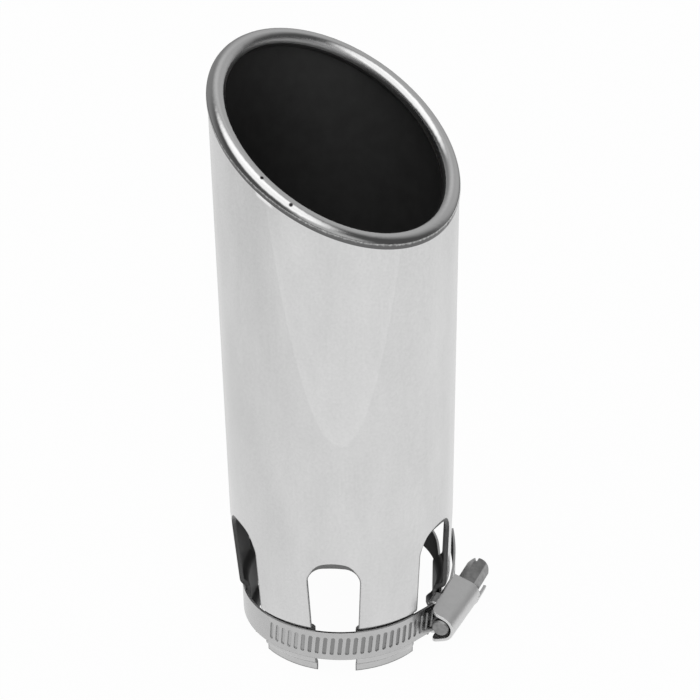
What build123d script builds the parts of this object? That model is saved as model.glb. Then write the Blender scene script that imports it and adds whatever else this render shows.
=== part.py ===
from build123d import *
from math import acos, asin, atan2, cos, degrees, hypot, pi, radians, sin, sqrt, tan
import os

# Exhaust tip that is clamped over a tailpipe. The tube's axis is Z, the inlet end stands on Z = 0,
# and the slanted mouth is lowest towards -Y. Azimuths turn from -Y towards +X. Millimetres.

# Tube and mouth
tube_diameter = 63.5
wall = 1.2
mouth_height = 147.4
mouth_slant = 33.2
lip_radius = 2.4
lip_proud = 0.3
lip_curl_end = 250.0
wall_into_roll = 0.6

# Fingers, pressed in step by step from the tube to the tailpipe. Not all slots between them are cut alike:
# for each slot, how far it is turned, narrowed on either side, lowered, and opened at the fingers' ends
finger_count = 6
first_slot_azimuth = 16.5
slot_turns = (1.6, 0.0, 0.0, 0.0, 0.9, 0.0)
slot_width = 16.3
slot_insets = (0.0, 0.0, 0.0, 0.0, 0.0, 0.9)
slot_height = 42.3
slot_drops = (0.0, 0.0, 0.0, 0.0, 0.0, 3.2)
slot_openings = (-1.1, 0.0, 0.0, 0.0, -1.1, 0.65)
slot_crown = 0.8
slot_corner = 4.4
slot_bevel = 2.2
bevel_reach = 12.0
bevel_margin = 0.5
finger_lean = 1.55
outer_finger_lean = 0.45
shoulder_step = 1.7
shoulder_height = 1.2
land_step = 1.8
land_height = 2.2
joggle_height = 1.6
bend_radius = 1.5
shoulder_bend_radius = 2.2
lean_bend_radius = 30.0
lean_below_slot = 1.4

# Clamp band, one strip that laps over itself inside the housing
band_width = 9.0
band_thickness = 0.65
band_below = 2.05
band_above = 0.5
band_seat_gap = 0.15
lap_gap = 0.05
under_lap_start = -1.5
under_lap_end = 2.0
over_lap_start = -3.0
over_lap_end = 8.3
band_bend_radius = 6.0
band_slack = 14.0
slack_azimuth = 141.1
tail_bend = 12.0
tail_length = 27.0
tail_radius = 110.0
groove_pitch = 2.1
groove_width = 1.05
groove_length = 5.6
groove_depth = 0.3
groove_lead = 6.0
grooved_length = 96.0
tail_margin = 4.0

# Clamp housing, a stamped sheet folded round the band
clamp_azimuth = 26.7
housing_length = 19.8
housing_sheet = 0.8
housing_gap = 0.1
saddle_sink = 0.1
saddle_start = -4.4
saddle_end = 0.2
foot_rise = 0.25
housing_head_end = 11.0
housing_seam = 0.6
housing_base_bend = 0.7
housing_knee_bend = 1.6
housing_corner = 2.0
crown_drift = 1.0
ear_length = 5.6
ear_gap = 0.35
ear_start = -62.0
ear_sweep = 58.0

# Worm screw with a slotted hexagon head
worm_radius = 2.95
worm_root_radius = 2.55
worm_band_gap = 0.06
worm_housing_gap = 0.25
journal_length = 2.4
head_flats = 6.0
head_length = 13.6
head_turn = -12.0
head_gap = 0.3
head_bevel = 0.57
head_bevel_length = 1.0
driver_slot_width = 1.3
driver_slot_depth = 2.2
tip_chamfer = 0.4


def outward(azimuth):
    """Horizontal direction away from the tube's axis."""
    return Vector(sin(radians(azimuth)), -cos(radians(azimuth)), 0)


def around(azimuth):
    """Horizontal direction along the tube's surface, towards greater azimuths."""
    return Vector(cos(radians(azimuth)), sin(radians(azimuth)), 0)


def slot_half_width(radius):
    """Half the gap between two fingers at an outside radius, as the fingers keep their width."""
    return radius * sin(pi / finger_count - finger_width / (2 * radius))


def tangent_angle(point, radius):
    """Angle between a point's direction and the tangent point that it sees on a circle about the axis."""
    return acos(radius / hypot(*point))


# Radii and heights of the tube's outside, from the mouth down
tube_radius = tube_diameter / 2
finger_width = tube_diameter * (pi / finger_count - asin(slot_width / tube_diameter))
shoulder_radius = tube_radius - finger_lean
neck_radius = shoulder_radius - shoulder_step
land_radius = neck_radius - land_step
neck_start = land_height + joggle_height
band_bottom = neck_start + band_below
neck_end = band_bottom + band_width + band_above
shoulder_top = neck_end + shoulder_height
lean_start = slot_height - slot_bevel - lean_below_slot

# The roll's centre line lies on a cylinder inside the tube, so that the roll stands proud by lip_proud
roll_radius = tube_radius + lip_proud - lip_radius
roll_slope = tan(radians(mouth_slant))
roll_top = mouth_height + roll_slope * roll_radius
crease_angle = degrees(acos((lip_radius - lip_proud) / lip_radius))
inner_crease_angle = degrees(acos((lip_radius - lip_proud - wall) / (lip_radius - wall)))
curl_start = -(crease_angle + inner_crease_angle) / 2

tube_bends = [bend_radius, bend_radius, bend_radius, shoulder_bend_radius, lean_bend_radius]


def tube_points(lean):
    """The tube's outside from the inlet to the mouth, along a finger that leans in by a given amount."""
    return [
        (land_radius, 0),
        (land_radius, land_height),
        (neck_radius, neck_start),
        (neck_radius, neck_end),
        (tube_radius - lean, shoulder_top),
        (tube_radius, lean_start),
        (tube_radius, roll_top + lip_radius),
    ]


# One finger was left further out than the others, between the first two slots
finger_angle = 360 / finger_count
finger_sectors = [
    (first_slot_azimuth, finger_angle, outer_finger_lean),
    (first_slot_azimuth + finger_angle, 360 - finger_angle, finger_lean),
]


def slot_points(inset, opening, top):
    """One side of a slot, from below the fingers' ends to its top corner."""
    return [
        (slot_half_width(land_radius) + opening - inset, -wall),
        (slot_half_width(land_radius) + opening - inset, land_height),
        (slot_half_width(neck_radius) - inset, neck_start),
        (slot_half_width(neck_radius) - inset, neck_end),
        (slot_half_width(shoulder_radius) - inset, shoulder_top),
        (slot_width / 2 - inset, top),
    ]


# The slanted cut starts outside the tube and goes through the wall, which lies deepest at the slot's sides
bevel_slope = slot_bevel / wall
side_depth = tube_radius - sqrt(tube_radius**2 - (slot_width / 2) ** 2)
bevel_length = (side_depth + wall + 2 * bevel_margin) * hypot(1, bevel_slope)

# The plane of the slanted cut, in line with the roll where the tube's outside meets it
cut_slope = roll_slope * roll_radius / tube_radius
cut_plane = Plane((0, 0, mouth_height + wall_into_roll), x_dir=(1, 0, 0), z_dir=(0, -cut_slope, 1))
roll_plane = Plane((0, 0, mouth_height), x_dir=(1, 0, 0), z_dir=(0, -roll_slope, 1))
roll_start = Plane((roll_radius, 0, mouth_height), x_dir=(1, 0, 0), z_dir=(0, -1, -roll_slope))

with BuildPart() as tip_tube:
    for start, sweep_angle, lean in finger_sectors:
        with BuildSketch(Plane((0, 0, 0), x_dir=outward(start), z_dir=-around(start))):
            with BuildLine():
                FilletPolyline(tube_points(lean), radius=tube_bends)
                offset(amount=wall, side=Side.LEFT)
            make_face()
        revolve(axis=Axis.Z, revolution_arc=sweep_angle)
    slot_cuts = zip(slot_turns, slot_insets, slot_drops, slot_openings)
    for step, (turn, inset, drop, opening) in enumerate(slot_cuts):
        azimuth = first_slot_azimuth + finger_angle * step + turn
        slot_plane = Plane((0, 0, 0), x_dir=around(azimuth), z_dir=outward(azimuth))
        # The top edge is sheared at a slant, so that it is lower inside the wall than outside
        top = slot_height - drop
        outer_top = top + bevel_margin * bevel_slope
        outer_side = slot_points(inset, opening, outer_top - slot_crown)
        inner_top = top - slot_bevel
        inner_side = slot_points(inset, opening, inner_top - slot_crown)
        bevel_foot = (outer_side[-2][0], outer_top - bevel_reach)
        for depth, side_points, peak in (
            (0, inner_side, inner_top),
            (tube_radius + bevel_margin, [bevel_foot, outer_side[-1]], outer_top),
        ):
            with BuildSketch(slot_plane.offset(depth)):
                with BuildLine():
                    side = Polyline(*side_points)
                    mirror(about=Plane.YZ)
                    Line(side @ 0, (-side_points[0][0], side_points[0][1]))
                    ThreePointArc(side @ 1, (0, peak), (-side_points[-1][0], side_points[-1][1]))
                slot_face = make_face()
                fillet(slot_face.vertices().group_by(Axis.Y)[-1], slot_corner)
            if depth:
                shear = -outward(azimuth) - Vector(0, 0, bevel_slope)
                extrude(amount=bevel_length, dir=shear, mode=Mode.SUBTRACT)
            else:
                extrude(amount=tube_radius + wall, mode=Mode.SUBTRACT)
    split(bisect_by=cut_plane, keep=Keep.BOTTOM)
    with BuildLine(roll_plane) as roll_line:
        EllipticalCenterArc((0, 0), roll_radius, hypot(1, roll_slope) * roll_radius, arc_size=360)
    guide_radius = roll_radius + tube_radius
    guide_slope = roll_slope * roll_radius / guide_radius
    guide_plane = Plane((0, 0, mouth_height), x_dir=(1, 0, 0), z_dir=(0, -guide_slope, 1))
    with BuildLine(guide_plane) as guide_line:
        EllipticalCenterArc((0, 0), guide_radius, hypot(1, guide_slope) * guide_radius, arc_size=360)
    with BuildSketch(roll_start) as curl:
        with BuildLine():
            outer = CenterArc((0, 0), lip_radius, curl_start, lip_curl_end - curl_start)
            inner = CenterArc((0, 0), lip_radius - wall, curl_start, lip_curl_end - curl_start)
            Line(outer @ 0, inner @ 0)
            Line(outer @ 1, inner @ 1)
        make_face()
    sweep(sections=curl.sketch, path=roll_line.wire(), binormal=guide_line.wire())
tip_tube.part.label = "tip_tube"

# The clamp's own plane: local X points out through the housing, local Y along the screw to its head
clamp_plane = Plane((0, 0, band_bottom), x_dir=outward(clamp_azimuth), z_dir=(0, 0, 1))
band_radius = neck_radius + band_seat_gap + band_thickness / 2
saddle_inside = neck_radius - saddle_sink
under_lap = saddle_inside + housing_sheet + housing_gap + band_thickness / 2
over_lap = under_lap + band_thickness + lap_gap
worm_distance = over_lap + band_thickness / 2 + worm_band_gap + worm_radius
housing_tip_end = housing_head_end - housing_length


def clamp_direction(x, y):
    """Direction given in the clamp's own plane."""
    return clamp_plane.x_dir * x + clamp_plane.y_dir * y


# The loop lies on the fingers at the front and stands off behind them by the slack of the loose clamp
under_corner = (under_lap, under_lap_end)
over_corner = (over_lap, over_lap_start)
under_leave = degrees(atan2(under_corner[1], under_corner[0]) + tangent_angle(under_corner, band_radius))
over_leave = degrees(atan2(over_corner[1], over_corner[0]) - tangent_angle(over_corner, band_radius))
slack_angle = slack_azimuth - clamp_azimuth
slack_centre = (band_slack * cos(radians(slack_angle)), band_slack * sin(radians(slack_angle)))
side_angle = slack_angle - 90
front_sweep = 180 + over_leave - side_angle

with BuildPart() as clamp_band:
    with BuildSketch(clamp_plane):
        with BuildLine() as band_line:
            leave = CenterArc((0, 0), band_radius, under_leave, side_angle - under_leave)
            behind = CenterArc(slack_centre, band_radius, side_angle, 180)
            front = CenterArc((0, 0), band_radius, side_angle + 180, front_sweep)
            FilletPolyline((under_lap, under_lap_start), under_corner, leave @ 0, radius=band_bend_radius)
            Line(leave @ 1, behind @ 0)
            Line(behind @ 1, front @ 0)
            lap = FilletPolyline(front @ 1, over_corner, (over_lap, over_lap_end), radius=band_bend_radius)
            tail_start = JernArc(lap @ 1, lap % 1, band_bend_radius, tail_bend)
            JernArc(tail_start @ 1, tail_start % 1, tail_radius, degrees(tail_length / tail_radius))
        trace(line_width=band_thickness)
    extrude(amount=band_width)
    band_path = band_line.wire()
    groove_planes = []
    for step in range(int((grooved_length - tail_margin) / groove_pitch)):
        along = band_path.length - tail_margin - step * groove_pitch
        spot = band_path.position_at(along, position_mode=PositionMode.LENGTH)
        run = band_path.tangent_at(along, position_mode=PositionMode.LENGTH)
        middle = spot + Vector(run.Y, -run.X) * (band_thickness / 2) + Vector(0, 0, band_width / 2)
        groove_planes.append(
            Plane(
                clamp_plane.from_local_coords(middle),
                x_dir=clamp_direction(run.X, run.Y),
                z_dir=clamp_direction(run.Y, -run.X),
            )
        )
    with BuildSketch(*groove_planes):
        SlotOverall(groove_length, groove_width, rotation=90 - groove_lead)
    extrude(amount=-groove_depth, mode=Mode.SUBTRACT)
clamp_band.part.label = "clamp_band"

# The housing's section, drawn across the screw: X out from the tube's axis, Y up from the band's middle
sheet_middle = saddle_inside + housing_sheet / 2
side_height = band_width / 2 + housing_gap + housing_sheet / 2
knee = (over_lap + band_thickness / 2, side_height)
crown_radius = worm_radius + worm_housing_gap + housing_sheet / 2
housing_bends = [housing_base_bend, housing_knee_bend, crown_radius, housing_knee_bend, housing_base_bend]


def housing_points(crown_distance):
    """Corners of the folded sheet, whose roof falls from the knees to a round crown at some distance."""
    knee_to_crown = (crown_distance - knee[0], -knee[1])
    roof_fall = -atan2(knee_to_crown[1], knee_to_crown[0]) - asin(crown_radius / hypot(*knee_to_crown))
    apex = (knee[0] + knee[1] / tan(roof_fall), 0)
    return [
        (sheet_middle, housing_seam / 2),
        (sheet_middle, side_height),
        knee,
        apex,
        (knee[0], -knee[1]),
        (sheet_middle, -side_height),
        (sheet_middle, -housing_seam / 2),
    ]


head_end_plane = Plane(
    clamp_plane.from_local_coords((0, housing_head_end, band_width / 2)),
    x_dir=outward(clamp_azimuth),
    z_dir=-around(clamp_azimuth),
)
head_corner = head_flats / sqrt(3)
ear_inside = head_corner + ear_gap
ear_outside = ear_inside + housing_sheet
crown_inside = worm_radius + worm_housing_gap
head_crown_distance = worm_distance + crown_drift
ear_distance = worm_distance + crown_drift / 2
foot_height = knee[0] + foot_rise - saddle_inside

with BuildPart() as clamp_housing:
    # The crown stands further out at the head end, where it covers the head's collar
    for end, crown_distance in ((0, head_crown_distance), (housing_length, worm_distance)):
        with BuildSketch(head_end_plane.offset(end)):
            with BuildLine():
                FilletPolyline(housing_points(crown_distance), radius=housing_bends)
            trace(line_width=housing_sheet)
    loft(ruled=True)
    for near, far in (
        (0, housing_head_end - saddle_end),
        (housing_head_end - saddle_start, housing_length),
    ):
        with BuildSketch(head_end_plane.offset(near)):
            with Locations((saddle_inside, 0)):
                Rectangle(2 * foot_height, 2 * (side_height + housing_sheet))
        extrude(amount=far - near, mode=Mode.SUBTRACT)
    upright_edges = clamp_housing.edges().filter_by(Axis.Z)
    tip_end_edges = upright_edges.group_by(Axis(clamp_plane.origin, clamp_plane.y_dir))[0]
    fillet(tip_end_edges, housing_corner)
    for inside, near, far in (
        (crown_inside, 0, housing_sheet),
        (ear_inside, -ear_length, housing_sheet),
    ):
        with BuildSketch(head_end_plane.offset(near)):
            with BuildLine():
                outer = CenterArc((ear_distance, 0), ear_outside, ear_start, ear_sweep)
                inner = CenterArc((ear_distance, 0), inside, ear_start, ear_sweep)
                Line(outer @ 0, inner @ 0)
                Line(outer @ 1, inner @ 1)
            make_face()
        extrude(amount=far - near)
clamp_housing.part.label = "clamp_housing"

# The screw's own plane: local X points out from its axis, local Y runs along it from its tip to its head
screw_plane = Plane(
    clamp_plane.from_local_coords((worm_distance, housing_tip_end, band_width / 2)),
    x_dir=outward(clamp_azimuth),
    z_dir=(0, 0, 1),
)
screw_axis = Axis(screw_plane.origin, screw_plane.y_dir)
head_start = housing_length + head_gap
head_end = head_start + head_length
head_centre = screw_plane.from_local_coords((0, head_end))
head_end_face = Plane(head_centre, x_dir=(0, 0, 1), z_dir=screw_plane.y_dir)
head_points = [
    (0, head_start),
    (head_corner - head_bevel, head_start),
    (head_corner, head_start + head_bevel_length),
    (head_corner, head_end - head_bevel_length),
    (head_corner - head_bevel, head_end),
    (0, head_end),
]
shank_points = [
    (0, 0),
    (worm_root_radius - tip_chamfer, 0),
    (worm_root_radius, tip_chamfer),
    (worm_root_radius, housing_length - journal_length),
    (worm_radius, housing_length - journal_length),
    (worm_radius, head_start),
    (0, head_start),
]

with BuildPart() as clamp_screw:
    with BuildSketch(screw_plane):
        Polygon(head_points, align=None)
    revolve(axis=screw_axis)
    with BuildSketch(head_end_face):
        RegularPolygon(head_flats / 2, 6, major_radius=False, rotation=head_turn)
    extrude(amount=-head_length, mode=Mode.INTERSECT)
    with BuildSketch(head_end_face):
        Rectangle(2 * head_corner, driver_slot_width, rotation=head_turn)
    extrude(amount=-driver_slot_depth, mode=Mode.SUBTRACT)
    with BuildSketch(screw_plane):
        Polygon(shank_points, align=None)
    revolve(axis=screw_axis)
clamp_screw.part.label = "clamp_screw"

os.makedirs("parts", exist_ok=True)
for piece in (tip_tube, clamp_band, clamp_housing, clamp_screw):
    export_step(piece.part, f"parts/{piece.part.label}.step")
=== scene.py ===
# %% [markdown]
# # A clamp-on exhaust tip
# The object is a polished steel tube with a slanted, rolled mouth. Six fingers at its lower end are
# pulled onto a tailpipe by a worm-drive clamp. The packed CAD model brings the exact shapes, so this
# lesson adds what CAD leaves out: the worm's thread, the finishes, the light and the view.

from math import cos, pi, radians, sin, tan

import bmesh
import bpy
from mathutils import Matrix, Vector


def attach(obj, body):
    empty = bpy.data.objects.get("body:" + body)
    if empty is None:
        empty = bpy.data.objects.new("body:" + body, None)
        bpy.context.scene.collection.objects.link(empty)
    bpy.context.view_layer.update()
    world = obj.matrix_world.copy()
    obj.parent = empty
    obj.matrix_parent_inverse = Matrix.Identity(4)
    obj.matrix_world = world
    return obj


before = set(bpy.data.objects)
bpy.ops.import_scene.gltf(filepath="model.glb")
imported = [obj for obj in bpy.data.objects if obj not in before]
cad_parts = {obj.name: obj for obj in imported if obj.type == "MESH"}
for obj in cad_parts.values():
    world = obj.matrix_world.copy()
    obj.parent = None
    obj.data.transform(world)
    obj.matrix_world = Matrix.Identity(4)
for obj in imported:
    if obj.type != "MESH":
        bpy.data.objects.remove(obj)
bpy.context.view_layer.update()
print("nodes:", sorted(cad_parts))

# %% [markdown]
# ## The view
# The photo looks down at the tip from a little above its mouth, with a long lens. A camera could be
# aimed by hand or with a tracking constraint. Here its three directions are worked out from the angles
# and go into the camera's matrix, so that the view can be corrected by a tenth of a degree.

# %% Place the camera
view_azimuth = radians(-38.9)
view_distance = 0.3555
view_height = 0.2564
view_pitch = radians(25.47)
view_yaw = radians(0.49)
view_roll = radians(0.77)
lens_length = 74.62
sensor_width = 36
nearest_seen = 0.01

forward = Vector((sin(view_yaw) * cos(view_pitch), cos(view_yaw) * cos(view_pitch), -sin(view_pitch)))
level_right = Vector((cos(view_yaw), -sin(view_yaw), 0))
level_down = forward.cross(level_right)
right = level_right * cos(view_roll) + level_down * sin(view_roll)
down = level_down * cos(view_roll) - level_right * sin(view_roll)
pose = Matrix((right, -down, -forward)).transposed().to_4x4()
pose.translation = Vector((0, -view_distance, view_height))

camera = bpy.data.objects.new("camera", bpy.data.cameras.new("camera"))
camera.data.lens = lens_length
camera.data.sensor_width = sensor_width
camera.data.clip_start = nearest_seen
camera.matrix_world = Matrix.Rotation(view_azimuth, 4, "Z") @ pose
bpy.context.scene.collection.objects.link(camera)
bpy.context.scene.camera = camera
print("camera at", [round(x, 4) for x in camera.matrix_world.translation])

# %% [markdown]
# ## A bench for finishes
# Every metal below is a node material that ends in one Principled shader, and the table and the room are
# made of nodes too. Nodes could be placed by hand in the editor. A small class does the same in code:
# each call adds a node, links what it is given, and hands back the output, so a finish reads from its
# pattern to its shader.

# %% Helpers for node materials
# Cosines of the turn between a face and its rounded edge at which the edge begins and is full
edge_turn = (0.97, 0.88)
edge_samples = 6
relief_strength = 0.4


class Finish:
    """A node material or world that is wired step by step."""

    def __init__(self, owner):
        owner.use_nodes = True
        self.owner = owner
        self.tree = owner.node_tree
        self.tree.nodes.clear()

    def feed(self, socket, value):
        """Links another node's output to a socket, or sets the socket to a plain value."""
        if isinstance(value, bpy.types.NodeSocket):
            self.tree.links.new(value, socket)
        else:
            socket.default_value = value

    def add(self, kind, inputs=None, **settings):
        """Adds a node, sets its options, and feeds its inputs by name or number."""
        made = self.tree.nodes.new(kind)
        for option, value in settings.items():
            setattr(made, option, value)
        for key, value in (inputs or {}).items():
            self.feed(made.inputs[key], value)
        return made

    def math(self, operation, first, second=0.0, third=0.0):
        """One sum on two or three numbers."""
        inputs = {0: first, 1: second, 2: third}
        return self.add("ShaderNodeMath", inputs, operation=operation).outputs[0]

    def vector(self, operation, first, second=(0, 0, 0)):
        """One step on places or directions that gives another one."""
        inputs = {0: first, 1: second}
        return self.add("ShaderNodeVectorMath", inputs, operation=operation).outputs["Vector"]

    def measure(self, operation, first, second=(0, 0, 0)):
        """One step on places or directions that gives a number."""
        inputs = {0: first, 1: second}
        return self.add("ShaderNodeVectorMath", inputs, operation=operation).outputs["Value"]

    def fade(self, value, low, high, start=0.0, end=1.0):
        """Goes smoothly from start to end while a value goes from low to high."""
        inputs = {"Value": value, "From Min": low, "From Max": high, "To Min": start, "To Max": end}
        return self.add("ShaderNodeMapRange", inputs, interpolation_type="SMOOTHSTEP").outputs[0]

    def between(self, share, first, second):
        """A number between two others."""
        made = self.add("ShaderNodeMix")
        numbers = {socket.name: socket for socket in made.inputs if socket.type == "VALUE"}
        self.feed(numbers["Factor"], share)
        self.feed(numbers["A"], first)
        self.feed(numbers["B"], second)
        return made.outputs[0]

    def grey(self, value):
        """A grey colour from one number."""
        return self.add("ShaderNodeCombineColor", {0: value, 1: value, 2: value}).outputs[0]

    def noise(self, place, scale, detail=2.0):
        """Soft random patches between 0 and 1."""
        inputs = {"Vector": place, "Scale": scale, "Detail": detail}
        return self.add("ShaderNodeTexNoise", inputs).outputs[0]

    def flutter(self, pattern, amount):
        """A pattern between 0 and 1, turned into a small plus or minus."""
        return self.math("MULTIPLY", self.math("SUBTRACT", pattern, 0.5), amount)

    def rounded(self, radius):
        """The surface direction with sharp edges rounded off."""
        return self.add("ShaderNodeBevel", {"Radius": radius}, samples=edge_samples).outputs[0]

    def edges(self, rounded):
        """Where a rounded edge turns away from the face beside it."""
        flat = self.add("ShaderNodeNewGeometry").outputs["Normal"]
        return self.fade(self.measure("DOT_PRODUCT", rounded, flat), *edge_turn)

    def spot(self, place, middle, size):
        """A small round mark about one point."""
        return self.fade(self.measure("DISTANCE", place, middle), size, size / 2)

    def bump(self, height, distance, rounded):
        """A surface direction that follows a height pattern on top of rounded edges."""
        inputs = {"Height": height, "Distance": distance, "Strength": relief_strength, "Normal": rounded}
        return self.add("ShaderNodeBump", inputs).outputs[0]

    def metal(self, inputs):
        """The Principled shader at the end of a finish."""
        shader = self.add("ShaderNodeBsdfPrincipled", inputs)
        self.add("ShaderNodeOutputMaterial", {"Surface": shader.outputs[0]})
        return self.owner


def finish_for(name):
    """An empty material for a finish."""
    return Finish(bpy.data.materials.new(name))


def put_on(piece, material):
    """Gives a piece one finish."""
    piece.data.materials.clear()
    piece.data.materials.append(material)


print("a finish can", ", ".join(name for name in vars(Finish) if not name.startswith("_")))

# %% [markdown]
# ## The table
# Bright steel shows its surroundings more than its own colour, and the tube's side mirrors the white
# table in front of it. A lamp over a white floor could light that table, but its brightness would then
# hang on the lamp. This table glows by itself. The camera sees it white all over, and the steel mirrors
# it as white near the tip, a little dimmer behind it to the left, and dark far away. A small matt share
# keeps a faint shadow of the tip.

# %% Lay the table
table_radius = 2.0
table_drop = 0.0003
table_sides = 96

table_shape = bmesh.new()
bmesh.ops.create_circle(table_shape, cap_ends=True, segments=table_sides, radius=table_radius)
table_mesh = bpy.data.meshes.new("table")
table_shape.to_mesh(table_mesh)
table_shape.free()
table = bpy.data.objects.new("table", table_mesh)
table.location.z = -table_drop
bpy.context.scene.collection.objects.link(table)
print("table of", table_radius, "m in radius")

# %% Cover it with white paper
pool_inside = 0.55
pool_outside = 1.00
far_level = 0.12
dim_turn = -140
dim_reach = 0.20
dim_level = 0.89
matt_share = 0.03
matt_white = (0.9, 0.9, 0.9, 1)
white = (1, 1, 1, 1)


def toward(turn, height):
    """A direction from its turn to the right of the camera and its height, in degrees."""
    level = Vector((sin(radians(turn)), -cos(radians(turn)), 0)) * cos(radians(height))
    return Matrix.Rotation(view_azimuth, 3, "Z") @ (level + Vector((0, 0, sin(radians(height)))))


paper = finish_for("white_paper")
paper_place = paper.add("ShaderNodeTexCoord").outputs["Object"]
paper_path = paper.add("ShaderNodeLightPath").outputs
paper_reach = paper.measure("LENGTH", paper_place)
paper_along = paper.measure("DOT_PRODUCT", paper_place, toward(dim_turn, 0))
paper_pool = paper.fade(paper_reach, pool_inside, pool_outside, 1.0, far_level)
paper_dim = paper.fade(paper_along, -dim_reach, dim_reach, 1.0, dim_level)
paper_mirrored = paper.math("MULTIPLY", paper_pool, paper_dim)
paper_level = paper.between(paper_path["Is Glossy Ray"], 1.0, paper_mirrored)
paper_glow = paper.add("ShaderNodeEmission", {"Color": white, "Strength": paper_level}).outputs[0]
paper_matt = paper.add("ShaderNodeBsdfDiffuse", {"Color": matt_white}).outputs[0]
paper_seen = paper.math("MAXIMUM", paper_path["Is Camera Ray"], paper_path["Is Glossy Ray"])
paper_share = paper.math("MULTIPLY", paper_seen, 1 - matt_share)
paper_mix = paper.add("ShaderNodeMixShader", {0: paper_share, 1: paper_matt, 2: paper_glow}).outputs[0]
paper.add("ShaderNodeOutputMaterial", {"Surface": paper_mix})
put_on(table, paper.owner)
print("light pool of", pool_inside, "to", pool_outside, "m")

# %% [markdown]
# ## The room
# The rolled lip mirrors the whole room in a few millimetres: dark walls at either side, a soft light in
# front and above, and a paler wall behind. Lamps alone leave most of a mirror black, so the room is a
# world whose brightness follows the direction. The camera itself sees plain white behind the table.

# %% Light the room
side_level = 0.10
back_level = 0.30
# Cosines of the angle from straight behind at which the paler back wall begins and is full
back_wall = (-0.1, 0.5)
# For each light, in degrees, its turn to the right of the camera and its height, then how far from its
# middle it starts to fade and has faded, and last its brightness
soft_lights = {
    "key light": (-21, 56, 25, 44, 1.3),
    "back light": (138, 44, 15, 55, 0.25),
    "ceiling": (0, 90, 5, 40, 0.25),
    "front wall": (5, 5, 10, 38, 0.5),
}

room = Finish(bpy.context.scene.world or bpy.data.worlds.new("room"))
bpy.context.scene.world = room.owner
room_look = room.add("ShaderNodeTexCoord").outputs["Generated"]
room_back = room.measure("DOT_PRODUCT", room_look, toward(180, 0))
room_level = room.fade(room_back, *back_wall, side_level, back_level)
for turn, height, core, reach, brightness in soft_lights.values():
    near = room.measure("DOT_PRODUCT", room_look, toward(turn, height))
    glow = room.fade(near, cos(radians(reach)), cos(radians(core)), 0.0, brightness)
    room_level = room.math("ADD", room_level, glow)
room_light = room.add("ShaderNodeBackground", {"Color": white, "Strength": room_level}).outputs[0]
room_white = room.add("ShaderNodeBackground", {"Color": white, "Strength": 1.0}).outputs[0]
room_seen = room.add("ShaderNodeLightPath").outputs["Is Camera Ray"]
room_mix = room.add("ShaderNodeMixShader", {0: room_seen, 1: room_light, 2: room_white}).outputs[0]
room.add("ShaderNodeOutputWorld", {"Surface": room_mix})
bpy.context.scene.view_settings.view_transform = "Standard"
print("room with", ", ".join(soft_lights))

# %% [markdown]
# ## Zones of the tube
# The real tube is one sheet of stainless steel: satin-polished outside, buffed to a mirror on the lip,
# burnt black inside and left raw on the sheared edges of the slots. Four materials could be given to
# groups of faces, but the CAD mesh is not to be edited. One material can tell the zones apart: the lip
# and the slots by their place, and the skin, the inside and the cuts by which way a face looks.

# %% Tell lip, inside and cuts apart
mouth_height = 0.1474
mouth_slope = tan(radians(33.2))
roll_radius = 0.02965
crease_depth = 0.00117
crease_width = 0.0001
slot_top = 0.0426
finger_shoulder = 0.020
zone_border = 0.002
# Cosines between which a face comes to count as looking inwards, as the tube's skin, or as looking down
inwards = (-0.25, -0.45)
skin_facing = (0.3, 0.6)
downwards = (-0.2, -0.35)

steel = finish_for("polished_stainless")
steel_space = steel.add("ShaderNodeTexCoord").outputs
steel_place = steel.add("ShaderNodeSeparateXYZ", {0: steel_space["Object"]}).outputs
steel_look = steel.add("ShaderNodeSeparateXYZ", {0: steel_space["Normal"]}).outputs
steel_out = steel.vector("NORMALIZE", steel.vector("MULTIPLY", steel_space["Object"], (1, 1, 0)))
steel_side = steel.add("ShaderNodeSeparateXYZ", {0: steel_out}).outputs
steel_facing = steel.measure("DOT_PRODUCT", steel_space["Normal"], steel_out)

roll_middle = steel.math("MULTIPLY_ADD", steel_side["Y"], mouth_slope * roll_radius, mouth_height)
over_roll = steel.math("SUBTRACT", steel_place["Z"], roll_middle)
on_lip = steel.fade(over_roll, -crease_depth, crease_width - crease_depth)
below_lip = steel.math("SUBTRACT", 1.0, on_lip)
inside = steel.math("MULTIPLY", steel.fade(steel_facing, *inwards), below_lip)

at_slots = steel.fade(steel_place["Z"], slot_top + zone_border, slot_top)
above_shoulder = steel.fade(steel_place["Z"], finger_shoulder, finger_shoulder + zone_border)
sideways = steel.math("SUBTRACT", 1.0, steel.fade(steel.math("ABSOLUTE", steel_facing), *skin_facing))
sheared = steel.math("MULTIPLY", steel.fade(steel_look["Z"], *downwards), above_shoulder)
on_cut = steel.math("MULTIPLY", steel.math("MAXIMUM", sideways, sheared), at_slots)
print("zones: lip down to", crease_depth, "m below the roll's middle, cuts below", slot_top, "m")

# %% [markdown]
# ## Marks and painted light on the tube's side
# A polishing belt leaves cloudy streaks, fine hairlines and specks. On the front a faint reflection in the
# shape of a tongue is painted, and a thin highlight is painted under the lip. Marks like these could be
# painted on an image. Noise in unrolled coordinates, which are the angle round the tube and the height,
# needs no image. It has a seam where the angle wraps round, on the left of the view, but the streaks are
# so faint that the seam does not stand out. The painted tongue is the inside of a parabola in the same
# coordinates.

# %% Grain of the polished side
tube_grey = 0.59
streak_grey = 0.13
hairline_grey = 0.03
speck_grey = 0.09
streak_stretch = (3.2, 34.0, 1)
hairline_stretch = (160.0, 25.0, 1)
speck_scale = 1500.0

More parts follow.
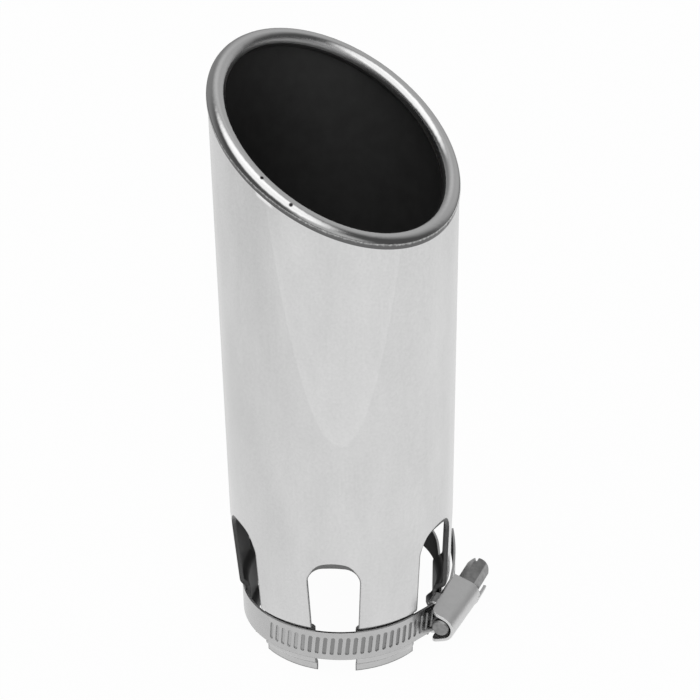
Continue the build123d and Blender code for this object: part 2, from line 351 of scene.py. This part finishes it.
steel_turn = steel.math("ARCTAN2", steel_place["Y"], steel_place["X"])
unrolled = steel.add("ShaderNodeCombineXYZ", {0: steel_turn, 1: steel_place["Z"], 2: 0.0}).outputs[0]
streaks = steel.noise(steel.vector("MULTIPLY", unrolled, streak_stretch), scale=1.0, detail=3.0)
hairlines = steel.noise(steel.vector("MULTIPLY", unrolled, hairline_stretch), scale=1.0, detail=2.0)
specks = steel.noise(steel_space["Object"], speck_scale, detail=2.0)
tube_tone = steel.math("MULTIPLY_ADD", streaks, streak_grey, tube_grey)
tube_tone = steel.math("ADD", tube_tone, steel.flutter(hairlines, hairline_grey))
tube_tone = steel.math("ADD", tube_tone, steel.flutter(specks, speck_grey))
print("polished side of grey", tube_grey, "to", tube_grey + streak_grey)

# %% Painted tongue reflection, painted highlight under the lip and painted shade on the finger ends
# Each pair says where a piece of painted light or shade begins and where it is full, in metres, or for the
# highlight's spread round the tube in radians
reflection_turn = radians(-128.9)
reflection_bottom = 0.074
reflection_curve = 0.20
reflection_rim = (0.0, 0.0015)
reflection_rim_grey = 0.030
reflection_middle = (0.003, 0.012)
reflection_middle_grey = 0.015
painted_gleam_turn = radians(-162)
painted_gleam_spread = (0.09, 0.05)
painted_gleam_zone = (-crease_depth - 0.0012, -crease_depth - 0.0006)
painted_gleam_grey = 0.95
finger_end_shade_zone = (0.004, 0.010)
finger_end_shade_share = 0.80

# Painted reflection: a faint tongue-shaped reflection is painted on the front, lighter at its rim and
# darker inside
across = steel.math("SUBTRACT", steel_turn, reflection_turn)
across_squared = steel.math("MULTIPLY", across, across)
reflection_edge = steel.math("MULTIPLY_ADD", across_squared, reflection_curve, reflection_bottom)
in_reflection = steel.math("SUBTRACT", steel_place["Z"], reflection_edge)
rim_added = steel.fade(in_reflection, *reflection_rim, 0.0, reflection_rim_grey)
middle_taken = steel.fade(in_reflection, *reflection_middle, 0.0, reflection_middle_grey)
tube_tone = steel.math("ADD", tube_tone, steel.math("SUBTRACT", rim_added, middle_taken))

# Painted highlight: a thin bright line is painted on the tube just under the lip
off_painted_gleam = steel.math("ABSOLUTE", steel.math("SUBTRACT", steel_turn, painted_gleam_turn))
under_lip = steel.fade(over_roll, *painted_gleam_zone)
painted_gleam = steel.math("MULTIPLY", under_lip, steel.fade(off_painted_gleam, *painted_gleam_spread))
tube_tone = steel.between(painted_gleam, tube_tone, painted_gleam_grey)
# Painted shade: the finger ends are painted darker towards the floor, down to 0.8 of the tone
end_shade = steel.fade(steel_place["Z"], *finger_end_shade_zone, finger_end_shade_share, 1.0)
tube_tone = steel.math("MULTIPLY", tube_tone, end_shade)
print("tongue mark from", reflection_bottom, "m up")

# %% [markdown]
# ## Marks on the lip
# The buffed lip is darker towards its crease, with a ragged border, and its inner side is stained by
# exhaust gas. It also has two pits and a nick at the tube's seam. Pits could be cut into the mesh, but
# they are only about a millimetre wide, so dark spots about three points do the same.

# %% Tone of the lip
lip_grey = 0.62
lip_shade_grey = 0.13
lip_shade_zone = (-0.0003, 0.0006)
ragged_by = 0.0009
stain_facing = (-0.1, -0.7)
stain_zone = (0.0016, -0.0004)
stained_grey = 0.45
mark_grey = 0.02
lip_marks = {
    "upper pit": ((-0.02933, -0.00824, 0.14481), 0.00060),
    "lower pit": ((-0.02680, -0.01605, 0.13949), 0.00065),
    "seam": ((0.01155, -0.02983, 0.12875), 0.00090),
}

ragged = steel.math("MULTIPLY_ADD", steel.math("SUBTRACT", specks, 0.5), ragged_by, over_roll)
lip_tone = steel.fade(ragged, *lip_shade_zone, lip_shade_grey, lip_grey)
turned_in = steel.fade(steel_facing, *stain_facing)
stained = steel.math("MULTIPLY", turned_in, steel.fade(ragged, *stain_zone))
lip_tone = steel.between(stained, lip_tone, stained_grey)
for middle, size in lip_marks.values():
    lip_tone = steel.between(steel.spot(steel_space["Object"], middle, size), lip_tone, mark_grey)
print("lip marks:", ", ".join(lip_marks))

# %% [markdown]
# ## The tube's finish
# The zones now come together in one shader. Soot is matt and black, raw cuts are dull and grey, and a dark
# line of painted shade runs along the sheared edges of the slots. The line could be modelled as a burr.
# Comparing the surface with a rounded copy of itself finds the same edges without new geometry.

# %% Tone of each zone
soot_grey = 0.015
soot_spread = 0.02
slot_light_zone = (0.055, 0.035)
slot_light_share = 1.3
cut_grey = 0.15
slot_edge_shade_grey = 0.08
slot_edge_shade_width = 0.0008
soot_scale = 260.0

soot = steel.noise(steel_space["Object"], soot_scale, detail=4.0)
soot_tone = steel.math("MULTIPLY_ADD", soot, soot_spread, soot_grey)
# Painted light: the soot is painted up to 1.3 times lighter low down near the slots, where light comes in
# through them
painted_slot_light = steel.fade(steel_place["Z"], *slot_light_zone, 1.0, slot_light_share)
soot_tone = steel.math("MULTIPLY", soot_tone, painted_slot_light)

steel_tone = steel.between(on_lip, tube_tone, lip_tone)
steel_tone = steel.between(inside, steel_tone, soot_tone)
steel_tone = steel.between(on_cut, steel_tone, cut_grey)
# Painted shade: a dark line is painted along the slots' edges, where their rounding turns away from the
# light
slot_edge_shade = steel.math("MULTIPLY", steel.edges(steel.rounded(slot_edge_shade_width)), at_slots)
steel_tone = steel.between(slot_edge_shade, steel_tone, slot_edge_shade_grey)
print("soot of grey", soot_grey, "and cuts of grey", cut_grey)

# %% Gloss of each zone
cloud_scale = 90.0
grain_scale = 2600.0
tube_rough = 0.20
cloud_rough = 0.08
lip_rough_least = 0.06
grain_rough = 0.12
stained_rough = 0.45
soot_rough = 0.6
cut_rough = 0.45
cut_metal = 0.3
grain_height = 0.00001
edge_radius = 0.0004

clouds = steel.noise(steel_space["Object"], cloud_scale, detail=3.0)
grain = steel.noise(steel_space["Object"], grain_scale, detail=3.0)
lip_rough = steel.math("MULTIPLY_ADD", grain, grain_rough, lip_rough_least)
lip_rough = steel.between(stained, lip_rough, stained_rough)
steel_rough = steel.math("MULTIPLY_ADD", clouds, cloud_rough, tube_rough)
steel_rough = steel.between(on_lip, steel_rough, lip_rough)
steel_rough = steel.between(inside, steel_rough, soot_rough)
steel_rough = steel.between(on_cut, steel_rough, cut_rough)
steel_metal = steel.between(inside, 1.0, 0.0)
steel_metal = steel.between(on_cut, steel_metal, cut_metal)
steel_relief = steel.between(on_lip, hairlines, grain)
tube_steel = steel.metal({
    "Base Color": steel.grey(steel_tone),
    "Metallic": steel_metal,
    "Roughness": steel_rough,
    "Normal": steel.bump(steel_relief, grain_height, steel.rounded(edge_radius)),
})
put_on(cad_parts["tip_tube"], tube_steel)
print("tube finish has", len(steel.tree.nodes), "nodes")

# %% [markdown]
# ## The clamp's finishes
# The band is rolled satin strip, the housing is stamped from duller sheet, and the screw is plated and
# darkened. All three are worn metal, so they share one recipe: a tone, edges painted in their own tone,
# lighter as a highlight on the housing and screw and darker as shade on the band, a roughness, and patches
# of wear at a given size. Separate hand-made materials would repeat the same nodes three times. Only the
# band needs more: its inner face, which faces the fingers, is painted dark and made matt as shade, and its
# grooves are painted darker as shade.

# %% Recipe for worn metal
rounded_edge_radius = 0.00025
mark_height = 0.00002
mark_scale = 900.0
wear_rough = 0.2
plain_shine = 0.5


def worn_metal(name, tone, painted_edge_tone, spread, rough, patch_size, mark_stretch, paint_inner_shade=None):
    """Metal with patches of wear, a painted highlight or painted shade along its edges, and fine marks
    drawn out along the strip.
    """
    metal = finish_for(name)
    space = metal.add("ShaderNodeTexCoord").outputs
    patches = metal.noise(space["Object"], 1 / patch_size, detail=4.0)
    drawn_out = metal.vector("MULTIPLY", space["Object"], (1, 1, mark_stretch))
    marks = metal.noise(drawn_out, mark_scale, detail=2.0)
    shade = metal.math("MULTIPLY_ADD", patches, spread, tone - spread / 2)
    shade = metal.math("ADD", shade, metal.flutter(marks, spread / 2))
    bare = 1.0
    shine = plain_shine
    if paint_inner_shade:
        shade, inner_shade_mask = paint_inner_shade(metal, space, shade)
        bare = metal.between(inner_shade_mask, 1.0, 0.0)
        shine = metal.between(inner_shade_mask, plain_shine, 0.0)
    rounded = metal.rounded(rounded_edge_radius)
    # Painted highlight and shade: the rounded edges are painted in the edge tone, lighter than the metal
    # on the housing and screw, darker on the band
    shade = metal.between(metal.edges(rounded), shade, painted_edge_tone)
    return metal.metal({
        "Base Color": metal.grey(shade),
        "Metallic": bare,
        "Roughness": metal.math("MULTIPLY_ADD", patches, wear_rough, rough - wear_rough / 2),
        "Specular IOR Level": shine,
        "Normal": metal.bump(marks, mark_height, rounded),
    })


housing_metal = worn_metal(
    "housing_sheet", tone=0.66, painted_edge_tone=0.92, spread=0.12, rough=0.40, patch_size=0.003, mark_stretch=1.0
)
screw_metal = worn_metal(
    "plated_screw", tone=0.27, painted_edge_tone=0.45, spread=0.26, rough=0.34, patch_size=0.0015, mark_stretch=1.0
)
put_on(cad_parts["clamp_housing"], housing_metal)
put_on(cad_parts["clamp_screw"], screw_metal)
print("worn metals:", housing_metal.name, screw_metal.name)

# %% Painted shade of the band's grooves and inner face
grooves_begin = radians(-79)
strip_outside = 0.02922
groove_floor = 0.02910
groove_shade_grey = 0.25
groove_facing = (-0.2, 0.2)
# Cosines of the angle from the first groove between which the painted groove shade grows, and its share at
# the first
groove_shade_grows = (0.99, 0.93)
first_groove_shade = 0.2
inner_face_facing = (-0.3, -0.6)
inner_shade_grey = 0.10


def strip_with_painted_shade(metal, space, shade):
    """The strip's tone with its grooves and inner face painted darker as shade, and where the inner face
    is.
    """
    level = metal.vector("MULTIPLY", space["Object"], (1, 1, 0))
    outwards = metal.vector("NORMALIZE", level)
    facing = metal.measure("DOT_PRODUCT", space["Normal"], outwards)
    sunk = metal.fade(metal.measure("LENGTH", level), strip_outside, groove_floor)
    in_groove = metal.math("MULTIPLY", sunk, metal.fade(facing, *groove_facing))
    first_groove = Vector((sin(grooves_begin), -cos(grooves_begin), 0))
    along = metal.measure("DOT_PRODUCT", outwards, first_groove)
    # Painted shade: the groove floors are painted darker, less so at the first grooves
    groove_shade = metal.math("MULTIPLY", in_groove, metal.fade(along, *groove_shade_grows, first_groove_shade, 1.0))
    shade = metal.between(groove_shade, shade, groove_shade_grey)
    # Painted shade: the inner face, which faces the fingers, is painted dark
    inner_shade = metal.fade(facing, *inner_face_facing)
    return metal.between(inner_shade, shade, inner_shade_grey), inner_shade


band_metal = worn_metal(
    "band_strip", tone=0.50, painted_edge_tone=0.36, spread=0.10, rough=0.26, patch_size=0.004, mark_stretch=4.0,
    paint_inner_shade=strip_with_painted_shade,
)
put_on(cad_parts["clamp_band"], band_metal)
print("finishes:", [material.name for material in bpy.data.materials])

# %% [markdown]
# ## The worm's thread
# The screw in the housing is a worm whose thread engages the band's grooves. CAD keeps the plain core,
# because a helix is costly there. A helix could be made with a screw modifier, but its ends would be cut
# square, so the ridge is laid ring by ring along the core and sinks into it at both ends.

# %% Find the worm's axis
clamp_azimuth = radians(26.7)
screw_reach = 0.033660
screw_height = 0.01035
screw_back = 0.0088

screw_out = Vector((sin(clamp_azimuth), -cos(clamp_azimuth), 0))
screw_along = Vector((cos(clamp_azimuth), sin(clamp_azimuth), 0))
screw_up = Vector((0, 0, 1))
screw_start = screw_out * screw_reach - screw_along * screw_back + screw_up * screw_height
print("worm starts at", [round(x, 4) for x in screw_start])

# %% Wind the thread
thread_root = 0.00250
thread_crest = 0.00290
thread_sink = 0.0001
thread_pitch = 0.0021
thread_begin = 0.0010
thread_end = 0.0172
thread_foot = 0.00065
thread_top = 0.00030
runout_turns = 0.5
steps_a_turn = 48

turns = (thread_end - thread_begin) / thread_pitch
rings = int(turns * steps_a_turn)


def thread_section(share):
    """The four corners of the ridge at a share of its length."""
    angle = 2 * pi * turns * share
    ray = screw_out * cos(angle) - screw_up * sin(angle)
    runout = min(1.0, share * turns / runout_turns, (1 - share) * turns / runout_turns)
    crest = thread_root + (thread_crest - thread_root) * runout
    foot = thread_root - thread_sink
    middle = thread_begin + (thread_end - thread_begin) * share
    corners = [(foot, -thread_foot), (crest, -thread_top), (crest, thread_top), (foot, thread_foot)]
    return [screw_start + ray * away + screw_along * (middle + shift) for away, shift in corners]


ridge = bmesh.new()
last = None
for ring in range(rings + 1):
    points = [ridge.verts.new(corner) for corner in thread_section(ring / rings)]
    if last:
        for side in range(len(points)):
            other = (side + 1) % len(points)
            ridge.faces.new((last[side], last[other], points[other], points[side]))
    else:
        ridge.faces.new(points)
    last = points
ridge.faces.new(reversed(last))
bmesh.ops.recalc_face_normals(ridge, faces=ridge.faces)
thread_mesh = bpy.data.meshes.new("worm_thread")
ridge.to_mesh(thread_mesh)
ridge.free()
worm_thread = bpy.data.objects.new("worm_thread", thread_mesh)
bpy.context.scene.collection.objects.link(worm_thread)
put_on(worm_thread, screw_metal)
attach(worm_thread, "screw")
print("worm thread of", round(turns, 1), "turns and", len(thread_mesh.polygons), "faces")

# %% [markdown]
# Dressing the part must not make it bigger.
